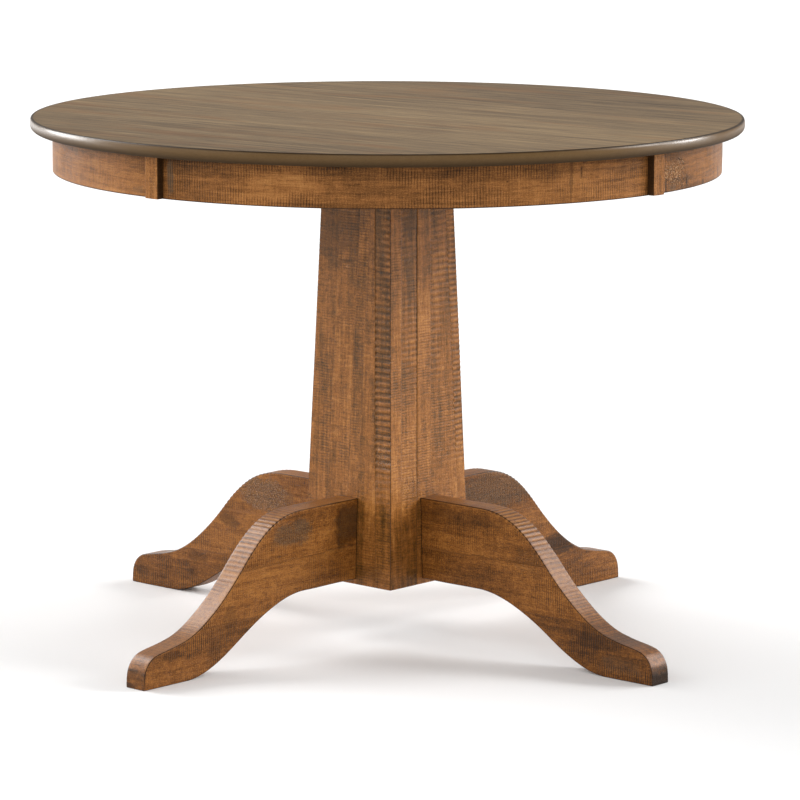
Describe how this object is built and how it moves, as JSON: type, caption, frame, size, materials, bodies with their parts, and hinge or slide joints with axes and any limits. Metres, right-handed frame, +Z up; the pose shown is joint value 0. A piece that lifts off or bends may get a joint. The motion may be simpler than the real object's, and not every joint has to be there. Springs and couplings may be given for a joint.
{
  "type": "round pedestal table",
  "caption": "Round solid-wood dining table: bullnosed top, curved apron with upright blocks, tapered square column and scrolled legs.",
  "frame": {"origin": "on the floor, under the column's axis", "axes": "+Z up; the four legs point along +X, -X, +Y and -Y"},
  "size_m": [1.07, 1.07, 0.788],
  "materials": {
    "top_wood": "satin grey-brown stain",
    "base_wood": "satin warm brown stain on rough-sawn wood",
    "hidden_wood": "bare planed wood",
    "steel": "zinc-plated"
  },
  "bodies": {
    "root": {"top_board_1": "top_wood", "top_board_2": "top_wood", "top_board_3": "top_wood", "top_board_4": "top_wood", "top_board_5": "top_wood", "top_board_6": "top_wood", "top_board_7": "top_wood", "apron_segment_1": "base_wood", "apron_segment_2": "base_wood", "apron_segment_3": "base_wood", "apron_segment_4": "base_wood", "apron_block_1": "base_wood", "apron_block_2": "base_wood", "apron_block_3": "base_wood", "apron_block_4": "base_wood", "batten_left": "hidden_wood", "batten_right": "hidden_wood", "pedestal_plate": "hidden_wood", "column_head": "hidden_wood", "column_panel_right": "base_wood", "column_panel_back": "base_wood", "column_panel_left": "base_wood", "column_panel_front": "base_wood", "leg_right": "base_wood", "leg_back": "base_wood", "leg_left": "base_wood", "leg_front": "base_wood", "leg_bolt_right_lower": "steel", "leg_nut_right_lower": "steel", "leg_bolt_right_upper": "steel", "leg_nut_right_upper": "steel", "leg_bolt_back_lower": "steel", "leg_nut_back_lower": "steel", "leg_bolt_back_upper": "steel", "leg_nut_back_upper": "steel", "leg_bolt_left_lower": "steel", "leg_nut_left_lower": "steel", "leg_bolt_left_upper": "steel", "leg_nut_left_upper": "steel", "leg_bolt_front_lower": "steel", "leg_nut_front_lower": "steel", "leg_bolt_front_upper": "steel", "leg_nut_front_upper": "steel", "plate_screw_1": "steel", "plate_screw_2": "steel", "plate_screw_3": "steel", "plate_screw_4": "steel", "head_screw_1": "steel", "head_screw_2": "steel", "head_screw_3": "steel", "head_screw_4": "steel", "batten_screw_left_1": "steel", "batten_screw_left_2": "steel", "batten_screw_left_3": "steel", "batten_screw_right_1": "steel", "batten_screw_right_2": "steel", "batten_screw_right_3": "steel"}
  },
  "joints": []
}
